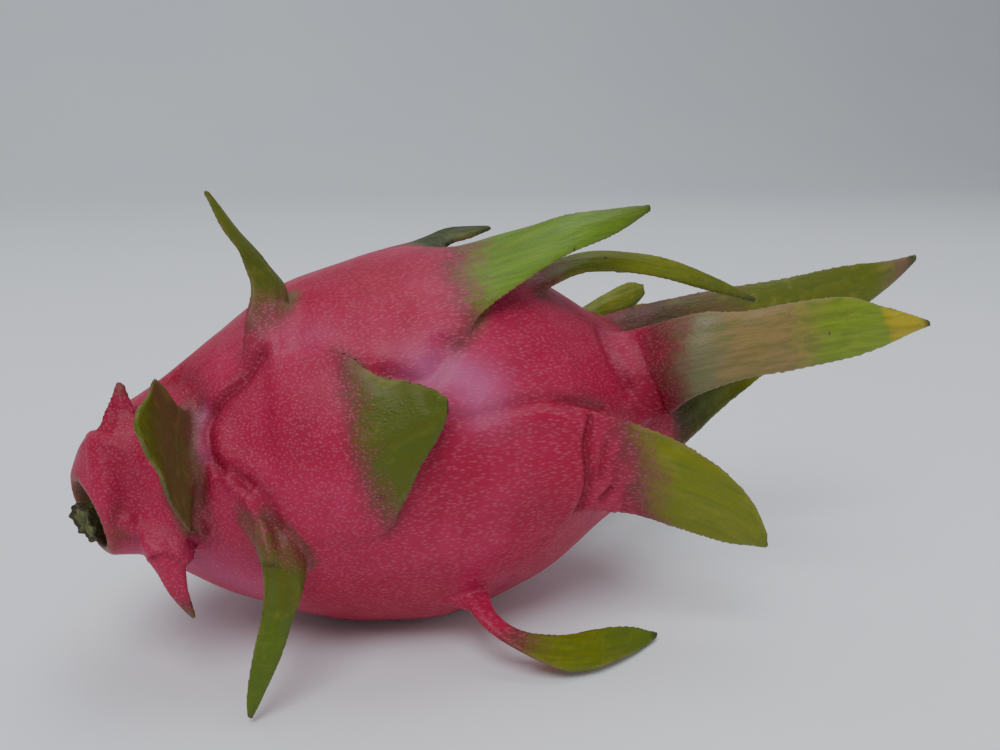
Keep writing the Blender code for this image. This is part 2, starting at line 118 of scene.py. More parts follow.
# rows: points along the midrib, each with the half width as a vector across the scale.
# thick: thickness at the root and in the blade. cup: how far the middle bulges, per half width.
# green: shares of the length where the pink starts and finishes turning green.
# tint: colours by share of the length. mound: a low seat, with a tighter blend into the skin.
SCALES = {
    "stem_left": dict(thick=(4.5, 1.4), cup=-0.12, green=(0.12, 0.32),
        tint=((0.25, BROWN), (0.5, BROWN), (0.68, MOSS), (1.0, OLIVE)),
        rows=(
        (-41, -16, 42, 0, 6, 12), (-47, -25, 44, 0, 4.5, 11), (-51, -31, 51.7, -0.5, 2.6, 11.4),
        (-54, -35.5, 55, -0.5, 1.2, 5.5), (-56, -38, 57, -0.2, 0.5, 1.2))),
    "stem_top": dict(thick=(5.0, 1.5), cup=0.15, green=(0.80, 1.2),
        tint=((0.9, OLIVE), (1.0, BROWN)),
        rows=(
        (-57, -8, 41, -5, 6, 0), (-58.5, -15, 46, -4.5, 4.5, 0.5), (-58, -14.5, 51.5, -3.4, 1.5, 0),
        (-57.5, -12.5, 55.5, -1.8, 0.6, 0.2), (-57.5, -11, 58.3, -0.5, 0.2, 0))),
    "stem_low": dict(thick=(4.0, 1.3), cup=0.15, green=(0.72, 1.1),
        tint=((0.8, PALE), (1.0, OLIVE)),
        rows=(
        (-50, -19, 33, -5, 3, 0), (-52, -25, 28.5, -3.9, 1.8, 0.7), (-51, -27, 24, -2.6, 0.9, 0.6),
        (-49.5, -27.5, 19.5, -1.6, 0.5, 0.4), (-47.5, -27, 15.3, -0.4, 0.2, 0.1))),
    "stem_back": dict(thick=(4.0, 1.3), cup=0.15, green=(0.4, 0.8),
        tint=((0.4, OLIVE), (0.95, OLIVE), (1.0, BROWN)),
        rows=(
        (-50, 4, 38, 2, 4, -4), (-47, 13, 41, 2, 3.5, -5), (-43.5, 20, 45, 1.5, 2, -4.5),
        (-40, 26, 49, 0.6, 0.8, -1.4))),
    "tall": dict(thick=(4.6, 1.2), cup=0.1, green=(0.16, 0.42),
        tint=((0.4, MOSS), (0.95, OLIVE), (1.0, BROWN)),
        rows=(
        (-31.5, -19, 55, -5, 1, -1), (-30, -14.5, 68.5, -4.6, -2, 0), (-28.5, -9.5, 75.5, -3.9, -3.3, 0.7),
        (-31.5, -9.5, 81, -2.6, -3, 0.8), (-35.5, -10, 87, -1.6, -2, 0.4),
        (-39.8, -10, 94.2, -0.4, -0.5, 0.1))),
    "front": dict(thick=(5.0, 1.4), cup=0.12, green=(0.22, 0.44),
        tint=((0.4, MOSS), (0.9, MOSS), (0.97, OLIVE), (1.0, DARK)),
        rows=(
        (-27, -27, 48, -2, 5.5, 15), (-17, -33, 48.5, -3, 6, 16.5), (-12.5, -38, 50.5, -1.6, 4.2, 12),
        (-8, -40.5, 53.5, -0.2, 3, 8), (-4.5, -41.8, 55.5, 0.3, 2, 4.6),
        (-1.8, -41.8, 57, 0.1, 0.4, 1.2))),
    "hanging": dict(thick=(4.4, 1.3), cup=0.15, green=(0.02, 0.30),
        tint=((0.4, MOSS), (0.6, GRASS), (0.95, GRASS), (1.0, BROWN)),
        rows=(
        (-33, -27, 35, -5, 0, 4), (-32, -33.5, 29, -4.7, 0.3, 3.4), (-32.3, -37, 23.5, -3.5, 0.4, 1.8),
        (-34, -39.5, 18.5, -3, 0, 0.8), (-36.5, -41, 12, -2.5, 0, 0.9), (-39, -42, 5, -1.4, 0, 0.6),
        (-40, -42.2, 1.2, -0.4, 0, 0.2))),
    "lying": dict(thick=(4.0, 1.3), cup=0.1, green=(0.36, 0.56),
        tint=((0.4, OLIVE), (0.6, YELLOW), (0.96, GRASS), (1.0, DARK)),
        rows=(
        (6, -24, 17, 4, 2, -1), (7.5, -32.5, 13.5, 3, 1.2, 0), (8.2, -39, 11, 1.9, 0.6, 0.5),
        (12.6, -43, 8, 1.8, 1.4, 0.7), (20, -45, 5.2, 2, 3.6, 1.4), (29, -44.6, 3.8, 2.8, 4.8, 1.8),
        (39, -42, 2.3, 1.8, 3.4, 1.2), (46.5, -40, 1.4, 0.4, 0.7, 0.2))),
    "far_top": dict(thick=(3.6, 1.3), cup=0.1, mound=0.3, green=(0.15, 0.35),
        tint=((0.3, FOREST), (0.95, FOREST), (1.0, DARK)),
        rows=(
        (-3, 6, 73.5, -1, 6, 0), (5.5, 7, 77.8, -2, 5.5, 0.4), (11.5, 8, 80.8, -0.6, 4.4, 1),
        (19, 9, 82.8, 0.4, 3, 1), (26, 9.4, 83.8, 0, 0.8, 0.2))),
    "upper": dict(thick=(5.2, 1.4), cup=0.12, green=(0.20, 0.42),
        tint=((0.3, SPRING), (0.7, SPRING), (0.95, GRASS), (1.0, DARK)),
        rows=(
        (-6, -15, 66, 1, 15, 6), (4, -16.5, 71.8, 2.4, 15.5, 7.2), (13.5, -17.5, 77, 4, 11, 6),
        (23.5, -19, 82, 2.6, 6.6, 4.6), (33, -20, 85.4, 1.6, 4, 3.6), (43.5, -20, 88.2, 0.8, 2, 2.4),
        (51, -20, 90.4, 0.2, 0.5, 0.6))),
    "long": dict(thick=(3.2, 1.2), cup=0.12, mound=0.4, green=(0.12, 0.30),
        tint=((0.2, OLIVE), (0.5, YELLOW), (0.94, OLIVE), (1.0, DARK)),
        rows=(
        (21, -9, 70, 3, 6, 2), (31, -10.5, 74.8, 3, 5.6, 1.8), (40, -11.5, 78, 1.8, 2.8, 1.9),
        (50, -13, 78, 1.5, 2, 2), (60, -14.5, 76, 1.2, 1.6, 2), (71, -15.6, 72.6, 0.9, 1.1, 1.5),
        (82.3, -16, 68.4, 0.2, 0.3, 0.4))),
    "far_small": dict(thick=(2.6, 1.2), cup=0.12, mound=0.2, green=(0.1, 0.3),
        tint=((0.2, OLIVE), (0.5, YELLOW), (1.0, OLIVE)),
        rows=(
        (38, 4, 58, 1, 3, 2.5), (47.5, 5, 61.5, 1, 2.6, 2.4), (55, 5.8, 64.8, 1, 2.4, 2.8),
        (62, 6.4, 67, 0.8, 2.2, 2.9), (65.8, 6.8, 68, 0.2, 0.8, 1.2))),
    "crown_far": dict(thick=(5.0, 1.4), cup=0.12, mound=0.3, green=(0.05, 0.25),
        tint=((0.15, WINE), (0.33, BROWN), (0.45, OLIVE), (0.75, OLIVE), (0.90, ROSE), (1.0, DARK)),
        rows=(
        (44, -1, 56, 1, 5, 5), (58.5, -3.5, 59.2, 1.2, 4.6, 6), (79, -4.5, 61.6, 1.5, 4.2, 7),
        (97.5, -6.5, 64.2, 1.2, 3.6, 7), (116, -8, 68.5, 0.3, 3, 5.4), (128, -8.4, 72, 0.9, 1.6, 3.2),
        (136.3, -8, 75.6, 0.2, 0.4, 0.8))),
    "crown_front": dict(thick=(5.2, 1.4), cup=0.12, green=(0.17, 0.27),
        tint=((0.17, GREY), (0.27, GREY), (0.36, TAN), (0.50, TAN), (0.58, LEAF),
              (0.735, LEAF), (0.76, AMBER), (0.93, AMBER), (0.98, DARK)),
        rows=(
        (40, -15, 51.5, -3, 6, 9), (51, -21.5, 54.5, -2, 5, 9), (58, -30, 60, 0.8, 1.8, 9),
        (67, -33.5, 62.2, 0.4, 1.4, 7.4), (77, -36.5, 64, -0.4, 0.5, 7.6), (90, -39, 66, -1.6, 0, 7),
        (99, -41, 66.4, -1.8, 0, 4.4), (105, -42, 66.6, -0.9, 0, 2.2), (109.5, -42.5, 66.5, -0.2, 0, 0.6))),
    "crown_inner": dict(thick=(5.0, 1.3), cup=-0.1, green=(0.1, 0.4),
        tint=((0.25, DARK), (0.5, MOSS), (0.7, YELLOW), (1.0, YELLOW)),
        rows=(
        (46, -15, 38, 0, 3, 6), (57.5, -16, 39.3, -0.4, 0, 6), (63.7, -19, 43.5, 0.2, 1, 6.5),
        (73.4, -19, 49.5, 0.2, 1, 5.2), (82.6, -19.5, 54.2, 0.4, 1, 3.3), (90.3, -20, 57.6, 0.2, 0.5, 2),
        (97.4, -20, 59, -0.2, 0, 0.9))),
    "crown_low": dict(thick=(5.2, 1.5), cup=0.1, green=(0.34, 0.50),
        tint=((0.4, YELLOW), (0.95, YELLOW), (1.0, BROWN)),
        rows=(
        (14, -28, 42, -3.5, 2, 11), (25, -34.5, 42, -4.6, 0, 12.2), (36.5, -37.5, 40, -4.4, -1, 11.8),
        (48, -41.5, 35.8, -2.4, -0.6, 10.8), (58, -44.5, 31.2, -2, -0.5, 9),
        (64.5, -46.5, 26.6, -1, -0.4, 5.4), (67.6, -47, 23.2, -0.3, 0, 1.8))),
    "crown_back": dict(thick=(5.2, 1.3), cup=0.12, green=(0.25, 0.5),
        tint=((0.3, GREY), (0.5, LEAF), (0.95, LEAF), (1.0, BROWN)),
        rows=(
        (38, 20, 50, 1, 7, -10), (50, 25, 52, 1, 6.5, -9), (66, 32, 52.5, 0, 5, -8.4),
        (82, 38, 52.5, -1, 3.5, -6.6), (94, 41, 53.5, -1, 1.6, -3.6), (101, 42, 55, -0.3, 0.4, -0.8))),
    "crown_back_low": dict(thick=(5.2, 1.3), cup=0.12, green=(0.25, 0.5),
        tint=((0.3, OLIVE), (0.5, YELLOW), (0.95, YELLOW), (1.0, BROWN)),
        rows=(
        (38, 18, 27, 0, -8, -9), (49, 23, 26, 0, -7, -8), (63, 31, 22, 0, -5.4, -7),
        (76, 37, 18, 0, -3.6, -5), (87, 41, 14.5, 0, -0.8, -1))),
    "back_high": dict(thick=(5.0, 1.3), cup=0.12, green=(0.25, 0.5),
        tint=((0.3, OLIVE), (0.5, LEAF), (0.95, LEAF), (1.0, BROWN)),
        rows=(
        (-30, 24, 52, 5, 5, -7), (-20, 31, 56, 4, 5.5, -7.5), (-10, 37, 60, 3, 4, -6),
        (-2, 41, 63, 1.6, 2, -3.2), (4, 43, 65, 0.4, 0.5, -0.8))),
    "back_mid": dict(thick=(5.0, 1.3), cup=0.12, green=(0.22, 0.45),
        tint=((0.3, MOSS), (0.95, OLIVE), (1.0, DARK)),
        rows=(
        (2, 35, 34, 2, 1, -13), (15, 38.5, 34, 1, 1, -12), (26, 42, 36, 0, 0.6, -8.6),
        (34, 44.5, 38, 0, 0.4, -4.6), (39, 46, 39.5, 0, 0.1, -1))),
    "back_low": dict(thick=(5.0, 1.3), cup=0.12, green=(0.25, 0.5),
        tint=((0.3, OLIVE), (0.95, YELLOW), (1.0, BROWN)),
        rows=(
        (-39, 15, 30, -3, -5, -7), (-31, 27, 25.5, -2, -6, -8), (-20, 35, 22, -1, -4.5, -6),
        (-11, 40, 18, -0.5, -2.4, -3.2), (-5, 42, 15, 0, -0.5, -0.8))),
    "back_foot": dict(thick=(4.4, 1.3), cup=0.1, green=(0.3, 0.55),
        tint=((0.3, OLIVE), (0.95, GRASS), (1.0, BROWN)),
        rows=(
        (6, 23, 15, 4, 2, -4), (11, 31, 9, 3.2, 3, -3), (19, 38, 5.4, 2, 4.6, -1.6),
        (29, 42, 3.4, 0, 4.8, -0.8), (38, 43.5, 1.4, -0.2, 0.9, -0.2))),
}

# Lines on the skin: depth of the groove (negative is a ridge), its half width, how much
# painted shade darkens the skin along it to a deeper red, and its points.
LINES = (
    (1.2, 1.1, 0.75, ((-32, -19, 62), (-36, -20, 58), (-40, -20, 55), (-42.5, -21, 52), (-43, -23, 48),
                      (-42, -25, 44.5), (-39, -27, 43), (-37, -28, 41))),
    (1.2, 2.4, 0.85, ((-47, -7, 57), (-45, -13, 57), (-44, -18, 54), (-43, -20, 53))),
    (0.9, 1.1, 0.80, ((-44, -24, 45), (-44.5, -25, 42), (-46, -24, 37), (-47, -23, 32))),
    (-1.3, 1.3, 0.0, ((-58, -18, 35), (-56, -20, 33), (-52, -21, 31), (-48, -22, 30), (-45, -22, 30))),
    (1.0, 1.7, 0.60, ((-62, -6, 44), (-59, -13, 49), (-55, -13, 51))),
    (0.6, 2.0, 0.50, ((-60, -17, 45), (-58, -20, 40), (-59, -20, 36))),
    (-1.3, 1.5, 0.0, ((-40, -27, 43), (-37, -29, 40), (-35, -30, 35), (-34, -29, 29))),
    (0.7, 1.4, 0.60, ((-37, -28, 42), (-34, -30, 39), (-32.5, -31, 33))),
    (-0.8, 2.8, 0.0, ((-28, -19, 65), (-24, -20, 66.5), (-20, -24, 66), (-17, -28, 63))),
    (0.8, 1.3, 0.35, ((-4, -36, 55), (3, -38, 53), (10, -37.5, 54), (18, -36, 54.5),
                      (27, -34, 53), (36, -31, 50))),
    (-0.9, 2.4, 0.0, ((8, -38, 50.5), (17, -37, 51.5), (27, -35, 49.5))),
    (0.9, 0.9, 1.0, ((29, -35, 50), (28, -36, 45), (29, -36, 37), (28, -35, 30))),
    (0.8, 0.8, 0.8, ((37, -33, 44), (34.5, -34, 41), (35, -35, 37), (33, -34, 34))),
    (0.8, 0.8, 0.8, ((45, -30, 42), (42, -31, 39), (38, -33, 35), (39.5, -31, 30))),
    (0.6, 0.8, 0.6, ((33, -34, 47), (32, -35, 43), (31.5, -35, 39))),
    (0.5, 2.4, 0.90, ((56, -7, 62), (52, -17, 59), (52, -23, 52), (53, -24, 49))),
    (0.9, 1.6, 0.60, ((43, -16, 66), (42, -20, 63), (43, -24, 58), (45, -26, 53))),
    (1.0, 2.2, 0.50, ((1, -31, 65), (-2, -33, 61), (-6, -34, 60), (-11, -33, 62))),
)

# Painted sheen on the skin, pale lavender highlights and the floor's reflection laid into its colour: its
# half width, strength and points.
PAINTED_SHEEN_LINES = (
    (1.8, 0.75, ((-44, -19, 53), (-45, -21, 50), (-45, -23, 46))),
    (6.0, 0.60, ((-3, -34, 61), (2, -35, 60), (6, -36, 57))),
    (7.0, 0.30, ((-51, -18, 26), (-43, -22, 23), (-36, -22, 19))),
    (5.0, 0.12, ((-28, -19, 65), (-22, -22, 67))),
    (5.0, 0.10, ((46, -15, 64), (46, -21, 58))),
)


# ---------------------------------------------------------------- curves and the skin

def catmull(rows, count):
    keys = np.array(rows, dtype=float)
    ends = np.vstack([2 * keys[0] - keys[1], keys, 2 * keys[-1] - keys[-2]])
    u = np.linspace(0.0, len(keys) - 1.0, count)
    i = np.minimum(u.astype(int), len(keys) - 2)
    t = (u - i)[:, None]
    a, b, c, d = ends[i], ends[i + 1], ends[i + 2], ends[i + 3]
    return b + 0.5 * t * (c - a + t * (2 * a - 5 * b + 4 * c - d + t * (3 * (b - c) + d - a)))


def centre_height(x):
    rise = BODY_RISE * np.maximum(0.0, BODY_NECK - x) ** 1.3
    return BODY_HEIGHT + BODY_TILT * x - BODY_ARCH * (x - 3.5) ** 2 + rise


def centre_side(x):
    return -BODY_BEND * np.maximum(0.0, 3.5 - x) ** 3


def centre_line(x):
    """Points of the body's centre line."""
    return np.column_stack([x, centre_side(x), centre_height(x)])


OUTLINE = catmull(BODY_PROFILE, 641)
SKIN_LINE = OUTLINE[int(640 * 3 / 21):int(640 * 16 / 21)]
SKIN_LINE = SKIN_LINE[np.argsort(SKIN_LINE[:, 0])]


def skin_radius(x):
    return np.interp(x, SKIN_LINE[:, 0], SKIN_LINE[:, 1])


def dish_share(x, radius):
    """How far a ring of the stem end follows the stem dish, from 0 to 1."""
    return np.clip((HEAD_RADIUS - radius) / (HEAD_RADIUS - DISH_RADIUS), 0, 1) * (x < BODY_NECK)


def middle_of(x, radius):
    """Middle of a ring of the body; small rings of the stem end move with the dish."""
    return centre_line(x) + dish_share(x, radius)[:, None] * HEAD_SHIFT


def on_skin(points):
    """Move points straight out from the centre line onto the plain skin."""
    points = np.asarray(points, dtype=float)
    x = points[:, 0]
    radius = skin_radius(x)
    middle = middle_of(x, radius)
    side, rise = (points - middle)[:, 1:].T
    grow = radius / np.maximum(np.hypot(side, rise), 1e-6)
    return np.column_stack([x, middle[:, 1] + side * grow, middle[:, 2] + rise * grow])


def line_distance(points, line):
    """Distance from each point to a line of points laid on the skin."""
    path = on_skin(catmull(line, 6 * len(line)))
    best = np.full(len(points), 1e9)
    for a, b in zip(path, path[1:]):
        leg = b - a
        t = np.clip(((points - a) @ leg) / max(leg @ leg, 1e-9), 0, 1)
        best = np.minimum(best, np.linalg.norm(points - a - t[:, None] * leg, axis=1))
    return best


def smooth_step(low, high, value):
    t = np.clip((value - low) / (high - low), 0, 1)
    return t * t * (3 - 2 * t)


def tubercle_frames():
    """Each scale's seat: mound height, place on the skin, way it grows, way across, width."""
    out = []
    for spec in SCALES.values():
        rows = np.array(spec["rows"], dtype=float)
        seat = on_skin(rows[1:2, :3])[0]
        middle = np.array([seat[0], centre_side(seat[0]), centre_height(seat[0])])
        normal = (seat - middle) / np.linalg.norm(seat - middle)
        grow = rows[2, :3] - rows[0, :3]
        grow -= normal * (grow @ normal)
        half = rows[1, 3:] - normal * (rows[1, 3:] @ normal)
        grow /= max(np.linalg.norm(grow), 1e-6)
        across = np.cross(normal, grow)
        width = max(np.linalg.norm(half), 3.0)
        out.append((spec.get("mound", MOUND_HEIGHT), seat, grow, across, width))
    return out


SEATS = tubercle_frames()
DISH = middle_of(np.array([-62.5]), np.array([0.0]))[0]


def skin_relief(base):
    """Height of the skin over the plain body: soft mounds under the scales and a slow swell."""
    relief = np.zeros(len(base))
    for height, seat, grow, across, width in SEATS:
        away = base - seat
        u = away @ grow
        v = away @ across
        reach = np.linalg.norm(away, axis=1)
        behind = np.where(u < 0, np.exp(-(u / 15.0) ** 2), np.exp(-(u / 4.0) ** 2))
        mound = behind * np.exp(-(v / (0.9 * width + 2.0)) ** 2) * (reach < 45)
        relief += height * mound
    relief = MOUND_LIMIT * np.tanh(relief / MOUND_LIMIT)
    x, y, z = base.T
    relief += 0.35 * np.sin(x * 0.21 + 1.3) * np.sin(y * 0.17 + 0.4) + 0.22 * np.sin(z * 0.31 + x * 0.12)
    return relief


# ---------------------------------------------------------------- solids as distance fields

def skin_points():
    rings = 420
    sides = 420
    curve = catmull(BODY_PROFILE, rings)
    turn = 2 * np.pi * np.arange(sides) / sides
    x = np.repeat(curve[:, 0], sides)
    r = np.repeat(np.maximum(curve[:, 1], 0.02), sides)
    angle = np.tile(turn, rings)
    lean = -dish_share(x, r) * r * (HEAD_LEAN[0] * np.cos(angle) + HEAD_LEAN[1] * np.sin(angle))
    base = middle_of(x, r) + np.column_stack([lean, r * np.cos(angle), r * np.sin(angle)])
    inner = np.repeat(smooth_step(2.0, 3.6, np.linspace(0, 21, rings)) *
                      (1 - smooth_step(15.6, 17.2, np.linspace(0, 21, rings))), sides)
    relief = skin_relief(on_skin(base)) * inner
    out = np.column_stack([np.zeros(len(x)), np.cos(angle), np.sin(angle)])
    return base + out * relief[:, None], rings, sides


def grid_faces(rings, sides):
    i = np.arange(rings - 1)[:, None] * sides
    j = np.arange(sides)[None, :]
    k = (j + 1) % sides
    quads = np.stack([i + j, i + k, i + sides + k, i + sides + j], axis=-1)
    return quads.reshape(-1, 4)


def closed_tube(points, rings, sides):
    """Close a tube of rings with a fan at each end."""
    quads = grid_faces(rings, sides)
    first = points[:sides].mean(axis=0)
    last = points[-sides:].mean(axis=0)
    points = np.vstack([points, first, last])
    j = np.arange(sides)
    k = (j + 1) % sides
    start, end = rings * sides, rings * sides + 1
    head = np.column_stack([j, k, np.full(sides, start)])
    base = (rings - 1) * sides
    tail = np.column_stack([base + k, base + j, np.full(sides, end)])
    return points, np.vstack([head, tail]), quads


def scale_surface(spec, steps=90, across=25):
    """The middle sheet of a scale: points, along, across, outward normals and thickness."""
    rows = catmull(spec["rows"], steps)
    share = np.linspace(0, 1, steps)
    tangent = np.gradient(rows[:, :3], axis=0)
    half = rows[:, 3:]
    normal = np.cross(half, tangent)
    normal /= np.maximum(np.linalg.norm(normal, axis=1, keepdims=True), 1e-9)
    seat = rows[steps // 4, :3]
    radial = np.array([0.0, seat[1], seat[2] - centre_height(seat[0])])
    if normal[steps // 4] @ radial < 0:
        normal = -normal
    width = np.linalg.norm(half, axis=1)
    v = np.linspace(-1, 1, across)
    thick = spec["thick"]
    depth = thick[1] + (thick[0] - thick[1]) * (1 - smooth_step(0.0, 0.62, share)) ** 1.3
    depth = depth * (1 - 0.3 * smooth_step(0.75, 1.0, share))
    bend = spec["cup"] * width
    wave = 0.5 * smooth_step(0.3, 0.6, share)[:, None] * (np.abs(v) ** 2)[None, :] * \
        np.sin(share[:, None] * 17 + 3.0 * np.sign(v)[None, :])
    keel = 0.25 * (1 - smooth_step(0.5, 0.9, share))[:, None] * np.exp(-(v / 0.18) ** 2)[None, :]
    lift = bend[:, None] * (1 - v ** 2)[None, :] + (wave + keel) * np.minimum(width, 5)[:, None] / 5
    points = rows[:, None, :3] + half[:, None, :] * v[None, :, None] + normal[:, None, :] * lift[..., None]
    rim = 0.5 * np.minimum(RIM_THICKNESS, depth)
    body = (0.5 * depth - rim)[:, None] * (1 - np.abs(v) ** 2.4)[None, :] + \
        rim[:, None] * np.sqrt(np.maximum(0.0, 1 - np.abs(v) ** 8))[None, :]
    return points, np.broadcast_to(normal[:, None, :], points.shape), body, tangent, half


def scale_solid(spec):
    points, normal, body, _, _ = scale_surface(spec)
    steps, across, _ = points.shape
    face = points + normal * body[..., None]
    back = points - normal * body[..., None]
    ring = np.concatenate([face, back[:, ::-1]], axis=1)
    return closed_tube(ring.reshape(-1, 3), steps, 2 * across)


def level_set(points, triangles, quads, band):
    """Distance field of a closed mesh as an array, with the voxel it starts from."""
    transform = openvdb.createLinearTransform(voxelSize=VOXEL)
    grid = openvdb.FloatGrid.createLevelSetFromPolygons(
        points.astype(np.float32), triangles=triangles.astype(np.uint32), quads=quads.astype(np.uint32),
        transform=transform, halfWidth=band / VOXEL)
    low, high = grid.evalActiveVoxelBoundingBox()
    low = np.array(low)
    size = np.array(high) - low + 1
    field = np.zeros(size, dtype=np.float32)
    grid.copyToArray(field, ijk=tuple(int(c) for c in low))
    return field, low


def soft_min(a, b, k):
    h = np.maximum(k - np.abs(a - b), 0) / k
    return np.minimum(a, b) - h * h * k * 0.25


def overlap(field, corner, total, low):
    """The part of a small field that lies in the big one, and where it goes there."""
    at = corner - low
    first = np.maximum(-at, 0)
    last = np.minimum(np.array(field.shape), np.array(total.shape) - at)
    inner = tuple(slice(a, b) for a, b in zip(first, last))
    outer = tuple(slice(a, b) for a, b in zip(first + at, last + at))
    return field[inner], outer


def outer_side(spec):
    """A point at the foot of a scale and the direction its outer face looks there."""
    rows = np.array(spec["rows"], dtype=float)
    seat = rows[1, :3]
    normal = np.cross(rows[1, 3:], rows[2, :3] - rows[0, :3])
    normal /= np.linalg.norm(normal)
    radial = np.array([0.0, seat[1] - centre_side(seat[0]), seat[2] - centre_height(seat[0])])
    radial /= np.linalg.norm(radial)
    if normal @ (0.6 * radial - np.array([1.0, 0.0, 0.0])) < 0:
        normal = -normal
    return seat, normal


def even_out(points, quads):
    """Taubin smoothing: takes the voxel steps off the margins without shrinking the shape."""
    first = quads.reshape(-1)
    second = np.roll(quads, -1, axis=1).reshape(-1)
    share = 1.0 / np.bincount(first, minlength=len(points)).clip(1)
    for _ in range(SMOOTH_TURNS):
        for step in (0.5, -0.53):
            mean = np.column_stack([np.bincount(first, weights=points[second, c], minlength=len(points))
                                    for c in range(3)]) * share[:, None]
            points = points + step * (mean - points)
    return points


def vertex_normals(points, quads):
    a, b, c, d = (points[quads[:, i]] for i in range(4))
    face = np.cross(c - a, d - b)
    total = np.column_stack([
        np.bincount(quads.reshape(-1), weights=np.repeat(face[:, i], 4), minlength=len(points))
        for i in range(3)])
    total /= np.maximum(np.linalg.norm(total, axis=1, keepdims=True), 1e-9)
    outward = np.einsum("ij,ij->i", total, points - centre_line(points[:, 0])).mean()
    return total if outward > 0 else -total


def carve_lines(points, quads):
    """Press the grooves into the finished skin and raise its ridges."""
    normals = vertex_normals(points, quads)
    base = on_skin(points)
    inside = (points[:, 0] > SKIN_LINE[0, 0]) & (points[:, 0] < SKIN_LINE[-1, 0])
    close = inside & (np.linalg.norm(points - base, axis=1) < CARVE_REACH)
    where = np.nonzero(close)[0]
    base = base[where]
    lift = np.zeros(len(where))
    for depth, half, _, line in LINES:
        away = line_distance(base, line)
        lift -= depth * np.exp(-(away / half) ** 2)
        if depth > LIP_FROM:
            lift += LIP_SHARE * depth * np.exp(-((away - 2.4 * half) / (1.6 * half)) ** 2)
    out = base - centre_line(base[:, 0])
    out /= np.linalg.norm(out, axis=1, keepdims=True)
    facing = smooth_step(0.1, 0.5, np.einsum("ij,ij->i", normals[where], out))
    points = points.copy()
    points[where] += normals[where] * (lift * facing)[:, None]
    return points


def build_skin():
    """The skin and its scales melted into one surface: its points and faces."""
    pad = 6.0
    low = np.floor((np.array(CAD_BOX[0]) / MM - SHIFT - pad) / VOXEL).astype(int)
    high = np.ceil((np.array(CAD_BOX[1]) / MM - SHIFT + pad) / VOXEL).astype(int)
    points, rings, sides = skin_points()
    total = np.full(high - low + 1, SKIN_BAND, dtype=np.float32)
    skin, corner = level_set(*closed_tube(points, rings, sides), SKIN_BAND)
    field, part = overlap(skin, corner, total, low)
    total[part] = field
    for spec in SCALES.values():
        leaf, corner = level_set(*scale_solid(spec), SCALE_BAND)
        field, part = overlap(leaf, corner, total, low)
        axes = [(np.arange(p.start, p.stop) + low[i]) * VOXEL for i, p in enumerate(part)]
        seat, outer = outer_side(spec)
        away = [axis - seat[i] for i, axis in enumerate(axes)]
        away = [away[0][:, None, None], away[1][None, :, None], away[2][None, None, :]]
        reach = np.sqrt(away[0] ** 2 + away[1] ** 2 + away[2] ** 2)
        side = outer[0] * away[0] + outer[1] * away[1] + outer[2] * away[2]
        width = np.linalg.norm(spec["rows"][1][3:])
        near = np.clip(1.3 - reach / (width + 9.0), 0, 1)
        blend = 2.5 if "mound" in spec else 5.5
        k = 0.5 + near * (0.5 + blend * smooth_step(-1.0, 2.5, side))
        total[part] = soft_min(total[part], field, k.astype(np.float32))
    rise = ((np.arange(total.shape[2]) + low[2]) * VOXEL)[None, None, :]
    total = np.maximum(total, -rise).astype(np.float32)
    grid = openvdb.FloatGrid(SKIN_BAND)
    grid.copyFromArray(total, ijk=tuple(int(c) for c in low))
    grid.transform = openvdb.createLinearTransform(voxelSize=VOXEL)
    points, _, quads = grid.convertToPolygons(isovalue=0.0, adaptivity=0.0)
    points = even_out(points.astype(float), quads)
    points = carve_lines(points, quads)
    low, high = (np.array(corner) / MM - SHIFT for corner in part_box("fruit"))
    return np.clip(points, low, high), quads


def make_mesh(name, points, quads):
    mesh = bpy.data.meshes.new(name)
    points = (points + SHIFT) * MM
    loops = quads.reshape(-1).astype(np.int32)
    starts = np.arange(0, len(loops), 4, dtype=np.int32)
    mesh.vertices.add(len(points))
    mesh.vertices.foreach_set("co", points.reshape(-1).astype(np.float32))
    mesh.loops.add(len(loops))
    mesh.loops.foreach_set("vertex_index", loops)
    mesh.polygons.add(len(quads))
    mesh.polygons.foreach_set("loop_start", starts)
    mesh.polygons.foreach_set("use_smooth", np.ones(len(quads), dtype=bool))
    mesh.update(calc_edges=True)
    mesh.validate()
    thing = bpy.data.objects.new(name, mesh)
    bpy.context.scene.collection.objects.link(thing)
    return thing


# ---------------------------------------------------------------- what the shader needs to know

def lattice_noise(points, size, seed):
    """Smooth value noise from -1 to 1 on points in millimetres."""
    q = points / size
    cell = np.floor(q).astype(np.int64)
    t = q - cell
    t = t * t * (3 - 2 * t)
    total = np.zeros(len(points))
    for dx in (0, 1):
        for dy in (0, 1):
            for dz in (0, 1):
                h = (cell[:, 0] + dx) * 374761393 + (cell[:, 1] + dy) * 668265263
                h = h + (cell[:, 2] + dz) * 2147483647
                h = (h + seed * 974634777) & 0xFFFFFFFF
                h = ((h ^ (h >> 13)) * 1274126177) & 0xFFFFFFFF
                value = ((h ^ (h >> 16)) & 0xFFFF) / 32767.5 - 1
                weight = (t[:, 0] if dx else 1 - t[:, 0]) * (t[:, 1] if dy else 1 - t[:, 1]) \
                    * (t[:, 2] if dz else 1 - t[:, 2])
                total += value * weight
    return total


def store(mesh, name, kind, values):
    layer = mesh.attributes.new(name, kind, "POINT")
    field = {"FLOAT": "value", "FLOAT_VECTOR": "vector", "FLOAT_COLOR": "color"}[kind]
    layer.data.foreach_set(field, np.ascontiguousarray(values, dtype=np.float32).reshape(-1))


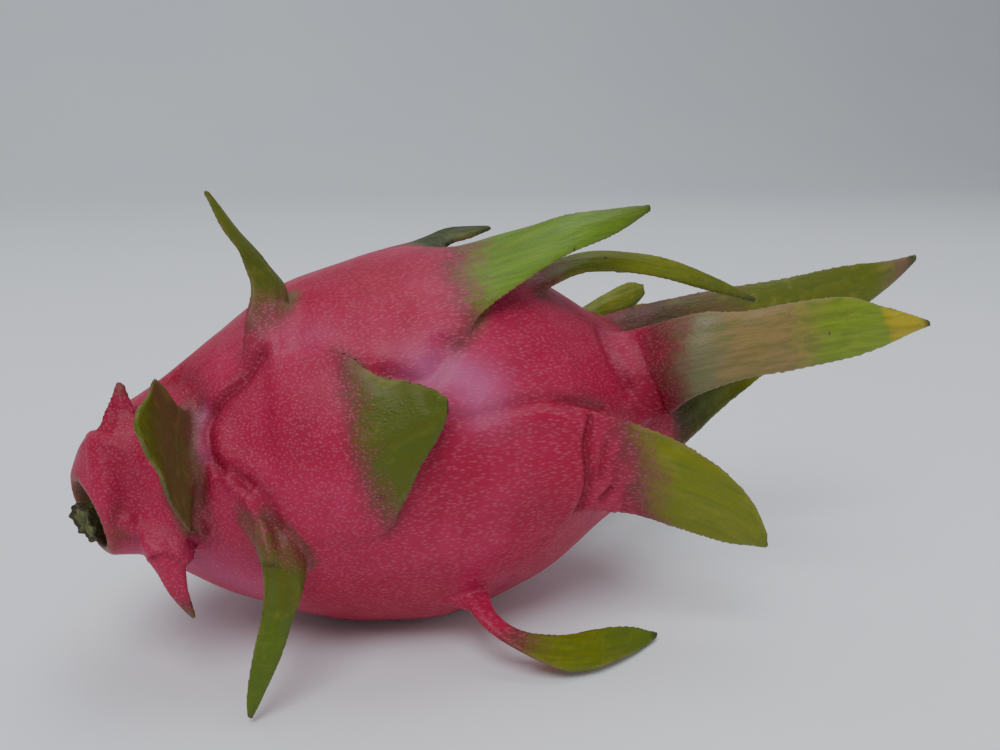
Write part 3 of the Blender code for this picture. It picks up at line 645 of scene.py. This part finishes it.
def describe_surface(thing):
    """Give every point its place on the nearest scale, its green tint and its skin marks, with the painted
    shade of the grooves and the painted sheen.
    """
    mesh = thing.data
    points = np.empty(len(mesh.vertices) * 3, dtype=np.float32)
    mesh.vertices.foreach_get("co", points)
    points = points.reshape(-1, 3).astype(float) / MM - SHIFT
    sheets = []
    for index, spec in enumerate(SCALES.values()):
        where, normal, body, tangent, half = scale_surface(spec)
        steps, across, _ = where.shape
        s = np.repeat(np.linspace(0, 1, steps), across)
        v = np.tile(np.linspace(-1, 1, across), steps)
        width = np.maximum(np.linalg.norm(half, axis=1), 0.3)
        length = np.maximum(np.linalg.norm(tangent, axis=1), 1e-6) * (steps - 1)
        sheets.append(np.column_stack([
            where.reshape(-1, 3), normal.reshape(-1, 3),
            np.repeat(tangent / np.linalg.norm(tangent, axis=1, keepdims=True), across, axis=0),
            np.repeat(half / width[:, None], across, axis=0),
            s, v, np.repeat(width, across), np.repeat(length, across), np.maximum(body.reshape(-1), 0.3),
            np.full(len(s), index)]))
    sheets = np.vstack(sheets)
    tree = KDTree(len(sheets))
    for i, row in enumerate(sheets[:, :3]):
        tree.insert(row, i)
    tree.balance()
    near = np.array([tree.find(p)[1] for p in points])
    row = sheets[near]
    away = points - row[:, :3]
    s = row[:, 12] + np.einsum("ij,ij->i", away, row[:, 6:9]) / row[:, 15]
    v = row[:, 13] + np.einsum("ij,ij->i", away, row[:, 9:12]) / row[:, 14]
    face = np.einsum("ij,ij->i", away, row[:, 3:6])
    reach = np.linalg.norm(away, axis=1)
    leaf = 1 - smooth_step(0.6, 3.2, reach - row[:, 16])
    index = row[:, 17].astype(int)
    specs = list(SCALES.values())
    green = np.array([spec["green"] for spec in specs])[index]
    turn = (s - green[:, 0]) / (green[:, 1] - green[:, 0])
    tint = np.zeros((len(points), 3))
    for i, spec in enumerate(specs):
        here = index == i
        stops = np.array([stop for stop, _ in spec["tint"]])
        shades = np.array([shade for _, shade in spec["tint"]])
        place = s[here] + 0.02 * lattice_noise(points[here], 2.5, i)
        tint[here] = np.column_stack([np.interp(place, stops, shades[:, c]) for c in range(3)])
    x, y, z = points.T
    ruler = np.linspace(-80, 150, 400)
    spacing = 0.62 - 0.30 * np.tanh((ruler + 25) / 22)
    along = np.interp(x, ruler, np.cumsum(spacing) * 230 / 399)
    grain = np.column_stack([along, y, z]) * MM
    # Painted shade: the grooves darken the skin to a deeper red.
    painted_groove_shade = np.zeros(len(points))
    base = on_skin(points)
    for _, half, shade, line in LINES:
        if shade:
            spread = half + (0.4 if half < 1.0 else 1.4)
            painted_groove_shade = np.maximum(painted_groove_shade, shade * np.exp(-(line_distance(base, line) / spread) ** 2))
    store(mesh, "grain", "FLOAT_VECTOR", grain)
    store(mesh, "blade", "FLOAT_VECTOR", np.column_stack([s, np.clip(v, -1.3, 1.3), face]))
    place = np.column_stack([s * row[:, 15], v * row[:, 14], index * 9.0]) * MM
    store(mesh, "span", "FLOAT_VECTOR", place)
    store(mesh, "turn", "FLOAT", np.clip(turn, -2, 3))
    store(mesh, "leaf", "FLOAT", leaf)
    store(mesh, "tint", "FLOAT_COLOR", np.column_stack([tint, np.ones(len(tint))]))
    # Painted sheen: lavender highlights and the floor's reflection, stored for the skin's colour.
    painted_sheen = np.zeros(len(points))
    for half, strength, line in PAINTED_SHEEN_LINES:
        painted_sheen = np.maximum(painted_sheen, strength * np.exp(-(line_distance(points, line) / half) ** 2))
    dish = 1 - smooth_step(4.5, 12.0, np.linalg.norm(points - DISH, axis=1))
    store(mesh, "painted_groove_shade", "FLOAT", painted_groove_shade * (1 - 0.8 * leaf * smooth_step(0.0, 0.4, turn)))
    store(mesh, "painted_sheen", "FLOAT", painted_sheen)
    store(mesh, "dish", "FLOAT", dish)


# ---------------------------------------------------------------- materials

class Shader:
    """Builds a node material with short calls."""

    def __init__(self, name):
        self.material = bpy.data.materials.new(name)
        self.material.use_nodes = True
        self.tree = self.material.node_tree
        self.tree.nodes.clear()
        self.out = self.tree.nodes.new("ShaderNodeOutputMaterial")
        self.surface = self.tree.nodes.new("ShaderNodeBsdfPrincipled")
        self.tree.links.new(self.surface.outputs[0], self.out.inputs[0])

    def put(self, socket, value):
        if isinstance(value, bpy.types.NodeSocket):
            self.tree.links.new(value, socket)
        elif isinstance(value, tuple) and len(value) == 3 and socket.type == "RGBA":
            socket.default_value = (*value, 1.0)
        else:
            socket.default_value = value

    def node(self, kind, **inputs):
        made = self.tree.nodes.new("ShaderNode" + kind)
        for key, value in inputs.items():
            self.put(made.inputs[key.replace("_", " ")], value)
        return made

    def field(self, name, output="Fac"):
        made = self.tree.nodes.new("ShaderNodeAttribute")
        made.attribute_name = name
        return made.outputs[output]

    def math(self, operation, *values):
        made = self.tree.nodes.new("ShaderNodeMath")
        made.operation = operation
        for socket, value in zip(made.inputs, values):
            self.put(socket, value)
        return made.outputs[0]

    def range(self, value, low, high, to_low=0.0, to_high=1.0):
        made = self.tree.nodes.new("ShaderNodeMapRange")
        made.interpolation_type = "SMOOTHSTEP"
        for socket, item in zip(made.inputs, (value, low, high, to_low, to_high)):
            self.put(socket, item)
        return made.outputs[0]

    def mix(self, share, a, b):
        made = self.tree.nodes.new("ShaderNodeMix")
        made.data_type = "RGBA"
        made.clamp_factor = True
        self.put(made.inputs[0], share)
        self.put(made.inputs[6], a)
        self.put(made.inputs[7], b)
        return made.outputs[2]

    def noise(self, vector, scale, detail=3.0, rough=0.55):
        made = self.node("TexNoise", Vector=vector, Scale=scale, Detail=detail, Roughness=rough)
        return made.outputs["Fac"]

    def cells(self, vector, scale):
        """Distance to the middle of a random cell, and a random number for the cell."""
        made = self.node("TexVoronoi", Vector=vector, Scale=scale)
        shade = self.node("SeparateColor", Color=made.outputs["Color"])
        return made.outputs["Distance"], shade.outputs[0], shade.outputs[1]

    def stretch(self, vector, scale):
        return self.node("Mapping", Vector=vector, Scale=scale).outputs[0]

    def bump(self, height, strength, distance, normal=None):
        made = self.node("Bump", Strength=strength, Distance=distance, Height=height)
        if normal is not None:
            self.put(made.inputs["Normal"], normal)
        return made.outputs[0]


def fruit_material():
    m = Shader("dragon_fruit_skin")
    place = m.node("TexCoord").outputs["Object"]
    grain = m.field("grain", "Vector")
    blade = m.node("SeparateXYZ", Vector=m.field("blade", "Vector"))
    span = m.field("span", "Vector")
    leaf = m.field("leaf")
    painted_groove_shade = m.field("painted_groove_shade")

    broad = m.noise(place, 28.0, 3.0)
    middle = m.noise(place, 120.0, 4.0)
    fine = m.noise(place, 900.0, 3.0)

    # Pink skin
    skin = m.mix(m.range(broad, 0.35, 0.65), (0.350, 0.004, 0.036), (0.420, 0.016, 0.070))
    skin = m.mix(m.range(middle, 0.40, 0.75, 0.0, 0.5), skin, (0.290, 0.008, 0.036))
    # Painted shade in the grooves: a darker, deeper crimson.
    skin = m.mix(m.math("MULTIPLY", painted_groove_shade, 0.75), skin, (0.200, 0.003, 0.018))
    away, chance, _ = m.cells(grain, 2000.0)
    dot = m.math("MULTIPLY", m.range(away, 0.55, 0.12), m.range(chance, 0.1, 0.9, 0.65, 1.0))

    # Painted sheen on the pink (lavender highlights and the floor's reflection), and the olive skin round
    # the stem
    skin = m.mix(m.math("MULTIPLY", m.field("painted_sheen"), m.range(middle, 0.3, 0.6, 0.6, 1.0)), skin,
                 (0.560, 0.150, 0.330))
    uneven = m.math("MULTIPLY", m.math("SUBTRACT", middle, 0.5), 0.8)
    olive = m.range(m.math("ADD", m.field("dish"), uneven), 0.25, 0.85)
    skin = m.mix(m.math("MULTIPLY", olive, 0.9), skin, (0.090, 0.070, 0.018))

    # Where the pink turns green along a scale
    turn = m.math("ADD", m.field("turn"), m.math("MULTIPLY", m.math("SUBTRACT", middle, 0.5), 0.9))
    turn = m.math("ADD", turn, m.math("MULTIPLY", m.math("SUBTRACT", fine, 0.5), 0.5))
    turn = m.math("SUBTRACT", turn, m.math("MULTIPLY", dot, 0.25))
    dull = m.math("MULTIPLY", m.range(turn, -0.35, 0.40), leaf)
    greened = m.math("MULTIPLY", m.range(turn, 0.15, 0.95), leaf)
    color = m.mix(m.math("MULTIPLY", dull, 0.80), skin, (0.115, 0.040, 0.030))
    color = m.mix(m.math("MULTIPLY", dot, 0.27), color, (0.620, 0.190, 0.260))

    # Green of the scales: streaks along the blade, mottling, margins and spots
    streak = m.noise(m.stretch(span, (0.12, 1.0, 1.0)), 900.0, 3.0)
    mottle = m.noise(span, 260.0, 5.0, 0.65)
    green = m.field("tint", "Color")
    green = m.mix(m.range(streak, 0.35, 0.7, 0.0, 0.45), green, (0.060, 0.105, 0.012))
    green = m.mix(m.range(mottle, 0.48, 0.76, 0.0, 0.26), green, (0.300, 0.270, 0.040))
    margin = m.range(m.math("ABSOLUTE", blade.outputs[1]), 0.84, 1.0)
    margin = m.math("MULTIPLY", margin, m.range(mottle, 0.35, 0.6))
    green = m.mix(m.math("MULTIPLY", margin, 0.55), green, (0.230, 0.130, 0.070))
    away, _, chance = m.cells(span, 210.0)
    spot = m.math("MULTIPLY", m.range(away, 0.14, 0.06), m.range(chance, 0.86, 0.90))
    green = m.mix(m.math("MULTIPLY", spot, 0.85), green, (0.020, 0.014, 0.008))
    color = m.mix(greened, color, green)

    rough = m.range(middle, 0.3, 0.7, 0.40, 0.54)
    rough = m.math("ADD", rough, m.math("MULTIPLY", greened, -0.02))
    normal = m.bump(m.noise(grain, 420.0, 4.0), 0.35, 0.0006)
    normal = m.bump(dot, 0.25, 0.0002, normal)
    normal = m.bump(streak, m.math("MULTIPLY", greened, 0.35), 0.0004, normal)
    s = m.surface
    m.put(s.inputs["Base Color"], color)
    m.put(s.inputs["Roughness"], rough)
    m.put(s.inputs["Normal"], normal)
    s.inputs["Specular IOR Level"].default_value = 0.26
    return m.material


# ---------------------------------------------------------------- the pieces

def show_fruit():
    thing = make_mesh("fruit_skin", *build_skin())
    describe_surface(thing)
    thing.data.materials.append(fruit_material())
    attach(thing, "root")
    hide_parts("fruit")


def fit_box(points, node):
    """Shrink and move points in metres to sit inside a CAD node's box."""
    low, high = (np.array(corner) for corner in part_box(node))
    first, last = points.min(axis=0), points.max(axis=0)
    share = np.minimum(1.0, (high - low) / (last - first)).min()
    points = (points - (first + last) / 2) * share + (low + high) / 2
    return np.clip(points, low, high)


def ring_mesh(name, points, rings, sides):
    quads = grid_faces(rings, sides)
    j = np.arange(sides)
    k = (j + 1) % sides
    points = np.vstack([points, points[:sides].mean(axis=0), points[-sides:].mean(axis=0)])
    top = (rings - 1) * sides
    caps = np.vstack([np.column_stack([k, j, np.full(sides, rings * sides)]),
                      np.column_stack([top + j, top + k, np.full(sides, rings * sides + 1)])])
    mesh = bpy.data.meshes.new(name)
    mesh.from_pydata(points.tolist(), [], quads[:, ::-1].tolist() + caps[:, ::-1].tolist())
    mesh.polygons.foreach_set("use_smooth", [True] * len(mesh.polygons))
    mesh.update()
    bm = bmesh.new()
    bm.from_mesh(mesh)
    bmesh.ops.recalc_face_normals(bm, faces=bm.faces)
    bm.to_mesh(mesh)
    bm.free()
    thing = bpy.data.objects.new(name, mesh)
    bpy.context.scene.collection.objects.link(thing)
    return thing


def heading_axes(heading):
    lead = np.array(heading) / np.linalg.norm(heading)
    side = np.cross(lead, (0.0, 0.0, 1.0))
    side /= np.linalg.norm(side)
    return lead, side, np.cross(side, lead)


def show_stub():
    """The cut stem: three blunt ribs, a woody rim and a sunken pith with torn fibres."""
    lead, side, up = heading_axes((-0.84, -0.48, -0.25))
    outline = ((0.0, 3.5), (0.9, 3.5), (1.8, 3.45), (2.8, 3.6), (3.7, 3.9), (4.4, 4.25), (4.9, 4.45),
               (5.15, 4.35), (5.2, 4.05), (4.95, 3.7), (4.6, 3.4), (4.5, 3.0), (4.65, 2.5), (4.75, 2.0),
               (4.6, 1.5), (4.4, 1.0), (4.3, 0.5))
    sides = 96
    rows = catmull([(a, b, 0.0) for a, b in outline], 65)
    turn = 2 * np.pi * np.arange(sides) / sides
    points = []
    for i, (height, radius, _) in enumerate(rows):
        ribs = 1 + 0.10 * np.cos(3 * turn + 0.5) * min(1.0, radius / 3.0)
        rough = 0.05 * np.sin(17 * turn + 0.8 * i) + 0.04 * np.sin(29 * turn - 1.3 * i)
        rough = rough + 0.05 * rng.normal(size=sides)
        torn = (0.28 * np.sin(7 * turn + 1.0) + 0.20 * np.sin(13 * turn)) * smooth_step(3.0, 5.0, height)
        r = radius * ribs + rough * (1.0 if radius > 0.8 else 0.3)
        points.append(np.outer(r * np.cos(turn), side) + np.outer(r * np.sin(turn) * 1.05, up)
                      + np.outer(height + torn, lead))
    points = fit_box(np.vstack(points) * MM, "stem_stub")
    thing = ring_mesh("cut_stem", points, len(rows), sides)
    mesh = thing.data
    # 1.2 on the bark; on the cut face, the distance from its middle as a share of its radius
    share = [min(1.0, radius / 4.3) if i > 30 else 1.2 for i, (_, radius, _) in enumerate(rows)]
    store(mesh, "ring", "FLOAT", np.append(np.repeat(np.array(share), sides), [1.2, 0.0]))
    m = Shader("cut_stem_wood")
    place = m.node("TexCoord").outputs["Object"]
    ring = m.field("ring")
    blotch = m.noise(place, 520.0, 4.0)
    fibre = m.noise(place, 2600.0, 3.0)
    face = m.mix(m.range(blotch, 0.35, 0.65), (0.085, 0.095, 0.022), (0.170, 0.165, 0.060))
    edge = m.range(m.math("ADD", ring, m.math("MULTIPLY", blotch, 0.3)), 0.85, 1.05)
    face = m.mix(edge, face, (0.045, 0.030, 0.012))
    bark = m.mix(m.range(blotch, 0.4, 0.62), (0.070, 0.062, 0.016), (0.035, 0.020, 0.008))
    color = m.mix(m.range(ring, 1.04, 1.12), face, bark)
    color = m.mix(m.math("MULTIPLY", m.range(fibre, 0.60, 0.75), 0.7), color, (0.360, 0.320, 0.190))
    m.put(m.surface.inputs["Base Color"], color)
    m.put(m.surface.inputs["Roughness"], m.range(blotch, 0.3, 0.7, 0.55, 0.85))
    grit = m.math("ADD", blotch, m.math("MULTIPLY", fibre, 0.5))
    m.put(m.surface.inputs["Normal"], m.bump(grit, 0.8, 0.0006))
    mesh.materials.append(m.material)
    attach(thing, "root")
    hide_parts("stem_stub")


def show_flower():
    """The withered flower: a crumpled tube with pleats, a torn curled rim and a dark throat."""
    sides = 120
    outline = ((0.0, 3.0), (1.0, 3.5), (3.0, 3.9), (5.5, 4.0), (8.0, 4.2), (10.5, 4.8), (12.5, 5.6),
               (14.0, 6.4), (14.7, 6.7), (14.8, 6.3), (13.6, 5.2), (11.0, 3.9), (8.0, 3.1), (6.5, 2.0),
               (6.3, 1.0))
    rows = catmull([(a, b, 0.0) for a, b in outline], 90)
    turn = 2 * np.pi * np.arange(sides) / sides
    points = []
    for height, radius, _ in rows:
        grow = smooth_step(0.0, 12.0, height)
        pleat = (1 + (0.05 + 0.13 * grow) * np.cos(5 * turn + 0.10 * height)
                 + 0.06 * np.cos(9 * turn - 0.3 * height)
                 + 0.045 * np.cos(16 * turn + 0.2 * height) * grow)
        torn = 1.2 * smooth_step(9.0, 14.0, height) * (np.sin(4 * turn + 0.6) + 0.5 * np.sin(11 * turn))
        crumple = 0.18 * np.sin(3.1 * height / 2 + 3 * turn) * grow
        r = radius * pleat + crumple
        side, rise = r * np.cos(turn) - 0.10 * height, r * np.sin(turn) - 0.03 * height
        points.append(np.column_stack([height + torn, side, rise]))
    points = fit_box(np.vstack(points) * MM, "dried_flower")
    thing = ring_mesh("withered_flower", points, len(rows), sides)
    rim = np.repeat(np.exp(-((np.arange(len(rows)) - 51) / 4.0) ** 2), sides)
    throat = np.repeat(smooth_step(54, 66, np.arange(len(rows))), sides)
    store(thing.data, "rim", "FLOAT", np.append(rim, [0, 0]))
    store(thing.data, "throat", "FLOAT", np.append(throat, [0, 1]))
    m = Shader("withered_flower_paper")
    place = m.node("TexCoord").outputs["Object"]
    long_way = m.noise(m.stretch(place, (0.2, 1.0, 1.0)), 1500.0, 3.0)
    blotch = m.noise(place, 260.0, 4.0)
    color = m.mix(m.range(long_way, 0.35, 0.65), (0.040, 0.016, 0.008), (0.130, 0.062, 0.026))
    color = m.mix(m.range(blotch, 0.45, 0.70, 0.0, 0.7), color, (0.020, 0.009, 0.006))
    torn_edge = m.math("MULTIPLY", m.field("rim"), m.range(blotch, 0.3, 0.6))
    color = m.mix(torn_edge, color, (0.420, 0.330, 0.190))
    color = m.mix(m.math("MULTIPLY", m.field("throat"), 0.7), color, (0.012, 0.006, 0.004))
    m.put(m.surface.inputs["Base Color"], color)
    m.put(m.surface.inputs["Roughness"], m.range(long_way, 0.3, 0.7, 0.6, 0.9))
    m.put(m.surface.inputs["Normal"], m.bump(long_way, 0.7, 0.0005))
    thing.data.materials.append(m.material)
    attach(thing, "root")
    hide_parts("dried_flower")


show_fruit()
show_stub()
show_flower()


# ---------------------------------------------------------------- floor, light and camera

def make_stage():
    """A pale floor that curves up into a backdrop far behind."""
    half_width, front, bend_from, bend, top = 2.6, -2.0, 1.2, 0.9, 3.0
    rows = []
    for x in np.linspace(-half_width, half_width, 3):
        line = [(x, front, 0.0), (x, bend_from, 0.0)]
        for a in np.linspace(0.08, math.pi / 2, 16):
            line.append((x, bend_from + bend * math.sin(a), bend - bend * math.cos(a)))
        line.append((x, bend_from + bend, top))
        rows.append(line)
    count = len(rows[0])
    points = [p for line in rows for p in line]
    faces = [(i * count + j, (i + 1) * count + j, (i + 1) * count + j + 1, i * count + j + 1)
             for i in range(2) for j in range(count - 1)]
    mesh = bpy.data.meshes.new("studio_floor")
    mesh.from_pydata(points, [], faces)
    mesh.polygons.foreach_set("use_smooth", [True] * len(faces))
    thing = bpy.data.objects.new("studio_floor", mesh)
    bpy.context.scene.collection.objects.link(thing)
    m = Shader("studio_paper")
    place = m.node("TexCoord").outputs["Object"]
    m.put(m.surface.inputs["Base Color"],
          m.mix(m.range(m.noise(place, 3.0), 0.3, 0.7), (0.88, 0.90, 0.94), (0.91, 0.93, 0.96)))
    m.surface.inputs["Roughness"].default_value = 0.7
    mesh.materials.append(m.material)


SKY = (0.93, 0.96, 1.0)
AIM = (0.0, 0.0, 0.04)


def soft_light(name, place, size, power):
    data = bpy.data.lights.new(name, "AREA")
    data.shape = "DISK"
    data.size = size
    data.energy = power
    data.color = SKY
    thing = bpy.data.objects.new(name, data)
    thing.location = place
    thing.rotation_euler = (Vector(AIM) - Vector(place)).to_track_quat("-Z", "Y").to_euler()
    bpy.context.scene.collection.objects.link(thing)


make_stage()
soft_light("key_light", (-0.55, -0.75, 1.25), 0.9, 12.5)
soft_light("top_light", (0.25, 0.35, 1.5), 1.2, 8.0)
soft_light("fill_light", (1.1, -0.9, 0.5), 1.0, 2.6)

world = bpy.data.worlds.new("pale_room")
bpy.context.scene.world = world
world.use_nodes = True
world.node_tree.nodes["Background"].inputs["Color"].default_value = (*SKY, 1.0)
world.node_tree.nodes["Background"].inputs["Strength"].default_value = 0.30

camera_data = bpy.data.cameras.new("camera")
camera_data.sensor_width = 36.0
camera_data.lens = 37.8
camera_data.clip_start = 0.01
camera = bpy.data.objects.new("camera", camera_data)
camera.location = (-0.0972, -0.2162, 0.1087)
camera.rotation_euler = tuple(math.radians(angle) for angle in (76.21, -1.0, -21.75))
bpy.context.scene.collection.objects.link(camera)
bpy.context.scene.camera = camera
